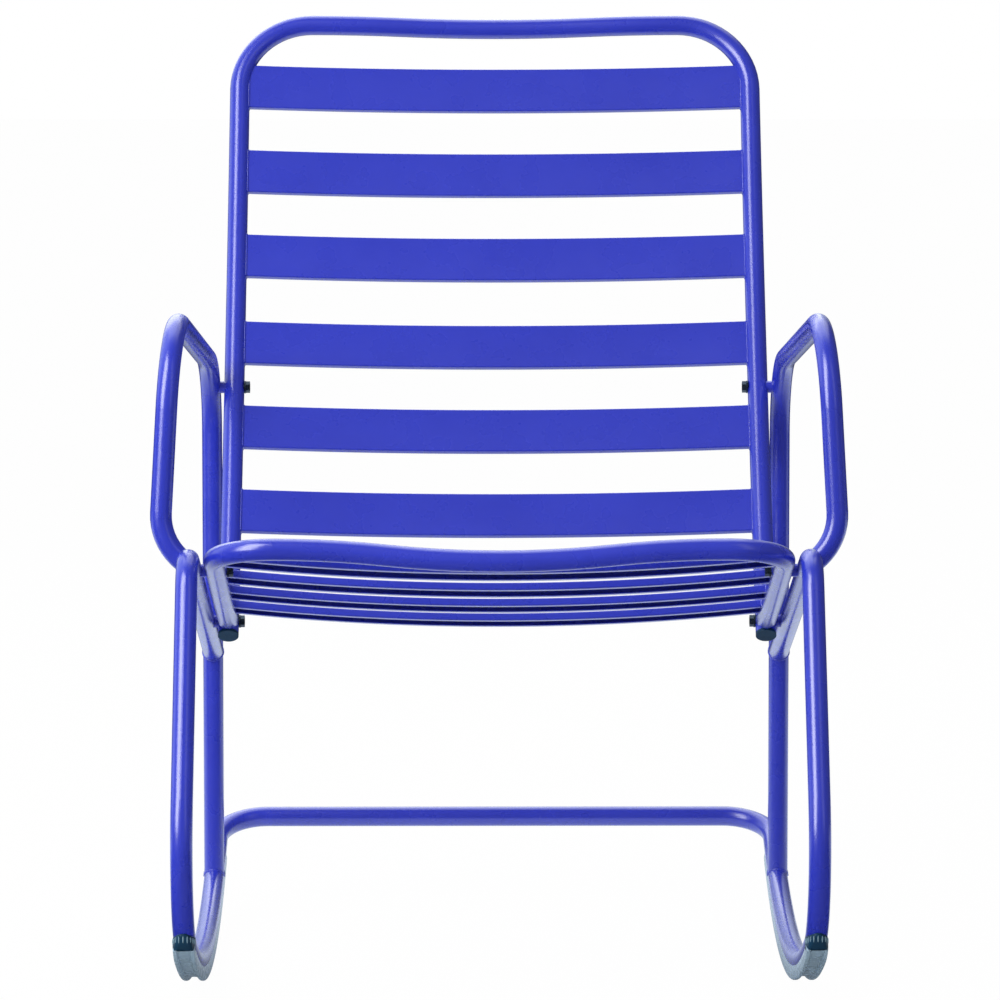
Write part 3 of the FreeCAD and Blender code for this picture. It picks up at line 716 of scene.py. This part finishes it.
def rounded(points, radii):
    """Open 2-D line with its inner corners rounded."""
    line = [points[0]]
    for before, corner, after, radius in zip(points, points[1:], points[2:], radii):
        back = (before - corner).normalized()
        ahead = (after - corner).normalized()
        half = back.angle(ahead) / 2
        reach = radius / math.tan(half)
        centre = corner + (back + ahead).normalized() * (radius / math.sin(half))
        start = corner + back * reach - centre
        end = corner + ahead * reach - centre
        for step in range(STRIP_ROUND_STEPS + 1):
            mixed = start.lerp(end, step / STRIP_ROUND_STEPS).normalized() * radius
            line.append(centre + mixed)
    line.append(points[-1])
    return line


def strip_section():
    """Closed section of the strip: lips round the tube, two treads and the channel between them."""
    tread = TUBE_R + GLIDE_DROP
    lip = Vector((math.sin(STRIP_WRAP), math.cos(STRIP_WRAP)))
    corners = [
        lip * TUBE_R,
        lip * (TUBE_R + STRIP_LIP),
        Vector(STRIP_SHOULDER),
        Vector((STRIP_TREAD_HALF, tread)),
        Vector((CHANNEL_MOUTH_HALF, tread)),
        Vector((CHANNEL_FLOOR_HALF, tread - CHANNEL_SIDE_DEPTH)),
        Vector((0, tread - CHANNEL_MIDDLE_DEPTH)),
    ]
    right = rounded(corners, STRIP_ROUNDS)
    left = [Vector((-point.x, point.y)) for point in reversed(right[:-1])]
    inner = []
    for step in range(1, STRIP_WRAP_STEPS):
        angle = -STRIP_WRAP + 2 * STRIP_WRAP * step / STRIP_WRAP_STEPS
        inner.append(Vector((math.sin(angle), math.cos(angle))) * TUBE_R)
    return right + left + inner


def lofted(name, rings, material):
    """Closed mesh through rings of points, with both ends filled."""
    work = bmesh.new()
    rows = [[work.verts.new(point) for point in ring] for ring in rings]
    count = len(rows[0])
    for first, second in zip(rows, rows[1:]):
        for step in range(count):
            after = (step + 1) % count
            work.faces.new((first[step], first[after], second[after], second[step]))
    work.faces.new(rows[0])
    work.faces.new(reversed(rows[-1]))
    bmesh.ops.recalc_face_normals(work, faces=work.faces)
    for face in work.faces:
        face.smooth = len(face.verts) == 4
    mesh = bpy.data.meshes.new(name)
    work.to_mesh(mesh)
    work.free()
    mesh.materials.append(material)
    return mesh


def glide_strip(side):
    """Grey strip from behind the heel to the nose."""
    section = strip_section()
    centre = Vector((0, 0, RUNNER_CENTRE_Z))
    rings = []
    for turn in np.linspace(-GLIDE_REAR_TURN, TOE_START, RUNNER_RINGS, endpoint=False):
        rings.append([on_bend(centre, RUNNER_BEND, turn, side, spot) for spot in section])
    for share in np.linspace(0, 1, TOE_RINGS):
        ring = []
        for spot in section:
            last = front_turn(spot, STRIP_FRONT_TURN, STRIP_FRONT_TILT)
            turn = TOE_START + (last - TOE_START) * share
            ring.append(on_bend(TOE_CENTRE, TOE_BEND, turn, side, spot))
        rings.append(ring)
    name = side_name(side) + "_glide_strip"
    piece(name, lofted(name, rings, GREY), [side_name(side) + "_runner_glide"])


def nose_ring(side, share):
    """Outer and inner half of a ring: full and square at the strip, thin and arched at the top."""
    drop = min(GLIDE_DROP * (1 - share) ** NOSE_TAPER + NOSE_LIP, GLIDE_DROP)
    power = NOSE_LOW_POWER + (NOSE_HIGH_POWER - NOSE_LOW_POWER) * share
    outer = []
    inner = []
    for step in range(NOSE_STEPS + 1):
        angle = NOSE_REACH * (2 * step / NOSE_STEPS - 1)
        spot = Vector((math.sin(angle), math.cos(angle))) * TUBE_R
        low = front_turn(spot, STRIP_FRONT_TURN, STRIP_FRONT_TILT)
        high = front_turn(spot, NOSE_TOP_TURN, NOSE_TOP_TILT)
        turn = low + (high - low) * share
        inner.insert(0, on_bend(TOE_CENTRE, TOE_BEND, turn, side, spot))
        across = math.copysign(abs(math.sin(angle)) ** (2 / power), angle) * NOSE_HALF
        out = math.cos(angle) ** (2 / power) * (TUBE_R + drop)
        outer.append(on_bend(TOE_CENTRE, TOE_BEND, turn, side, Vector((across, out))))
    return outer, inner


def rib_tree():
    """Slim ribs along a line, all lying one way."""
    sizes = {"Count": INTEGER, "Radius": FLOAT, "Half Length": FLOAT, "Way": VECTOR, "Finish": MATERIAL}
    tree, given = geometry_tree("nose_ribs", sizes)
    line = add(tree, "GeometryNodeMeshToCurve", {"Mesh": given["Geometry"]}).outputs[0]
    spots = add(tree, "GeometryNodeResampleCurve", {"Curve": line, "Count": given["Count"]}).outputs[0]
    shape = {"Segments": RIB_SEGMENTS, "Rings": RIB_RINGS, "Radius": 1.0}
    ball = add(tree, "GeometryNodeMeshUVSphere", shape).outputs[0]
    slim = add(
        tree, "ShaderNodeCombineXYZ",
        {"X": given["Radius"], "Y": given["Radius"], "Z": given["Half Length"]},
    ).outputs[0]
    lying = add(tree, "FunctionNodeAlignRotationToVector", {"Vector": given["Way"]}, axis="Z").outputs[0]
    ribs = add(
        tree, "GeometryNodeInstanceOnPoints",
        {"Points": spots, "Instance": ball, "Rotation": lying, "Scale": slim},
    ).outputs[0]
    close_tree(tree, ribs, given["Finish"])
    return tree


RIB_TREE = rib_tree()


def glide_nose(side):
    """Dark nose over the strip's front end, with its ribs."""
    rings = [nose_ring(side, share) for share in np.linspace(0, 1, NOSE_RINGS)]
    name = side_name(side) + "_glide_nose"
    body = lofted(name, [outer + inner for outer, inner in rings], DARK)
    low, middle, high = (nose_ring(side, share)[0] for share in (RIB_LOW, RIB_MIDDLE, RIB_HIGH))
    way = high[NOSE_STEPS // 2] - low[NOSE_STEPS // 2]
    # The ribs take the paler plastic, a painted highlight.
    values = {"Count": RIB_COUNT, "Radius": RIB_R, "Half Length": RIB_HALF, "Way": way, "Finish": RIB_HIGHLIGHT}
    ribs = grown_mesh(RIB_TREE, wire_mesh(middle[RIB_MARGIN:-RIB_MARGIN], False), values)
    piece(name, joined(name, [body, ribs]))


for glide_side in SIDES:
    glide_strip(glide_side)
    glide_nose(glide_side)

# Stage. The pairs are where a change begins and ends: along y on the floor, in metres, and along
# y, z and x of a direction on the backdrop.

WHITE = (1, 1, 1, 1)
COOL_WHITE = (0.78, 0.87, 1.0, 1)
FLOOR_HALF = 30.0
FLOOR_GLOW = 0.985
FLOOR_IN_FRONT = (0.7, 0.7, 0.7, 1)
FLOOR_BEHIND = (0.85, 0.85, 0.85, 1)
FLOOR_FRONT = (-0.9, 0.1)
FLOOR_SHINE = (-0.3, 0.4)
FLOOR_REAR = (1.3, 2.4)
BACKDROP_SIDE = (-0.1, 0.3)
BACKDROP_RISE = (0.0, 0.12)
BACKDROP_RIGHT = (0.45, 0.05)
ROOM_LIGHT = 0.4
ROOM_MIRRORED = 0.08
CHAIR_MIDDLE = Vector((0, 0.06, 0.45))
CAMERA_PLACE = (-36 * MM, -5231.8 * MM, 952.5 * MM)
CAMERA_TURN = (math.radians(90 - 5.51), 0, math.radians(-0.419))
CAMERA_LENS = 198.0
CAMERA_SENSOR = 36.0


def ramp(tree, value, low, high):
    """Smooth step from 0 to 1."""
    limits = {"Value": value, "From Min": low, "From Max": high}
    return add(tree, "ShaderNodeMapRange", limits, interpolation_type="SMOOTHSTEP").outputs["Result"]


def white_floor():
    """Floor that is white in view but for a soft shadow, and a cool band of light in reflections."""
    mesh = bpy.data.meshes.new("floor")
    corners = [(x * FLOOR_HALF, y * FLOOR_HALF, 0) for x, y in ((-1, -1), (1, -1), (1, 1), (-1, 1))]
    mesh.from_pydata(corners, [], [(0, 1, 2, 3)])
    floor = linked("floor", mesh)
    material = bpy.data.materials.new("white_floor")
    material.use_nodes = True
    tree = material.node_tree
    tree.nodes.clear()
    path = add(tree, "ShaderNodeLightPath").outputs
    place = add(tree, "ShaderNodeTexCoord").outputs["Object"]
    along = add(tree, "ShaderNodeSeparateXYZ", {"Vector": place}).outputs["Y"]
    paint = two_tone(tree, ramp(tree, along, *FLOOR_FRONT), FLOOR_IN_FRONT, FLOOR_BEHIND)
    matt = add(tree, "ShaderNodeBsdfDiffuse", {"Color": paint}).outputs[0]
    band = calc(tree, "SUBTRACT", ramp(tree, along, *FLOOR_SHINE), ramp(tree, along, *FLOOR_REAR))
    gleam = add(tree, "ShaderNodeEmission", {"Color": COOL_WHITE, "Strength": band}).outputs[0]
    glow = add(tree, "ShaderNodeEmission", {"Color": WHITE, "Strength": 1.0}).outputs[0]
    both = add(tree, "ShaderNodeMixShader", {0: path["Is Glossy Ray"], 1: matt, 2: gleam}).outputs[0]
    seen = calc(tree, "MULTIPLY", path["Is Camera Ray"], FLOOR_GLOW)
    both = add(tree, "ShaderNodeMixShader", {0: seen, 1: both, 2: glow}).outputs[0]
    add(tree, "ShaderNodeOutputMaterial", {"Surface": both})
    mesh.materials.append(material)


def studio_world():
    """White backdrop in view, cool in reflections but for its right, with a dim room round the rest."""
    world = bpy.data.worlds.new("studio")
    bpy.context.scene.world = world
    world.use_nodes = True
    tree = world.node_tree
    tree.nodes.clear()
    path = add(tree, "ShaderNodeLightPath").outputs
    way = add(tree, "ShaderNodeTexCoord").outputs["Generated"]
    way = add(tree, "ShaderNodeSeparateXYZ", {"Vector": way}).outputs
    mirrored = calc(tree, "MAXIMUM", path["Is Glossy Ray"], path["Is Transmission Ray"])
    behind = calc(tree, "MULTIPLY", mirrored, ramp(tree, way["Y"], *BACKDROP_SIDE))
    behind = calc(tree, "MULTIPLY", behind, ramp(tree, way["Z"], *BACKDROP_RISE))
    behind = calc(tree, "MULTIPLY", behind, ramp(tree, way["X"], *BACKDROP_RIGHT))
    white = add(tree, "ShaderNodeBackground", {"Color": WHITE, "Strength": 1.0}).outputs[0]
    cool = add(tree, "ShaderNodeBackground", {"Color": COOL_WHITE, "Strength": 1.0}).outputs[0]
    loss = calc(tree, "MULTIPLY", mirrored, ROOM_LIGHT - ROOM_MIRRORED)
    dim = calc(tree, "SUBTRACT", ROOM_LIGHT, loss)
    soft = add(tree, "ShaderNodeBackground", {"Color": WHITE, "Strength": dim}).outputs[0]
    both = add(tree, "ShaderNodeMixShader", {0: behind, 1: soft, 2: cool}).outputs[0]
    both = add(tree, "ShaderNodeMixShader", {0: path["Is Camera Ray"], 1: both, 2: white}).outputs[0]
    add(tree, "ShaderNodeOutputWorld", {"Surface": both})


def lamp(name, place, size, power):
    """Area lamp that faces the chair and stays out of view."""
    data = bpy.data.lights.new(name, "AREA")
    data.shape = "RECTANGLE"
    data.size, data.size_y = size
    data.energy = power
    made = linked(name, data)
    made.location = place
    made.visible_camera = False
    made.rotation_euler = (CHAIR_MIDDLE - Vector(place)).to_track_quat("-Z", "Y").to_euler()


def camera():
    """View of the photograph: a long lens a little above the chair."""
    data = bpy.data.cameras.new("camera")
    data.sensor_width = CAMERA_SENSOR
    data.lens = CAMERA_LENS
    made = linked("camera", data)
    made.location = CAMERA_PLACE
    made.rotation_euler = CAMERA_TURN
    bpy.context.scene.camera = made


white_floor()
studio_world()
camera()
lamp("key", place=(-2.0, -1.8, 2.2), size=(1.6, 3.2), power=96)
lamp("fill", place=(1.73, -2.06, 2.2), size=(0.8, 3.0), power=4)
lamp("top", place=(0, 1.5, 2.9), size=(3.2, 2.2), power=18)
lamp("back", place=(-0.7, 3.0, 2.2), size=(2.8, 1.8), power=20)
bpy.context.scene.view_settings.view_transform = "Standard"
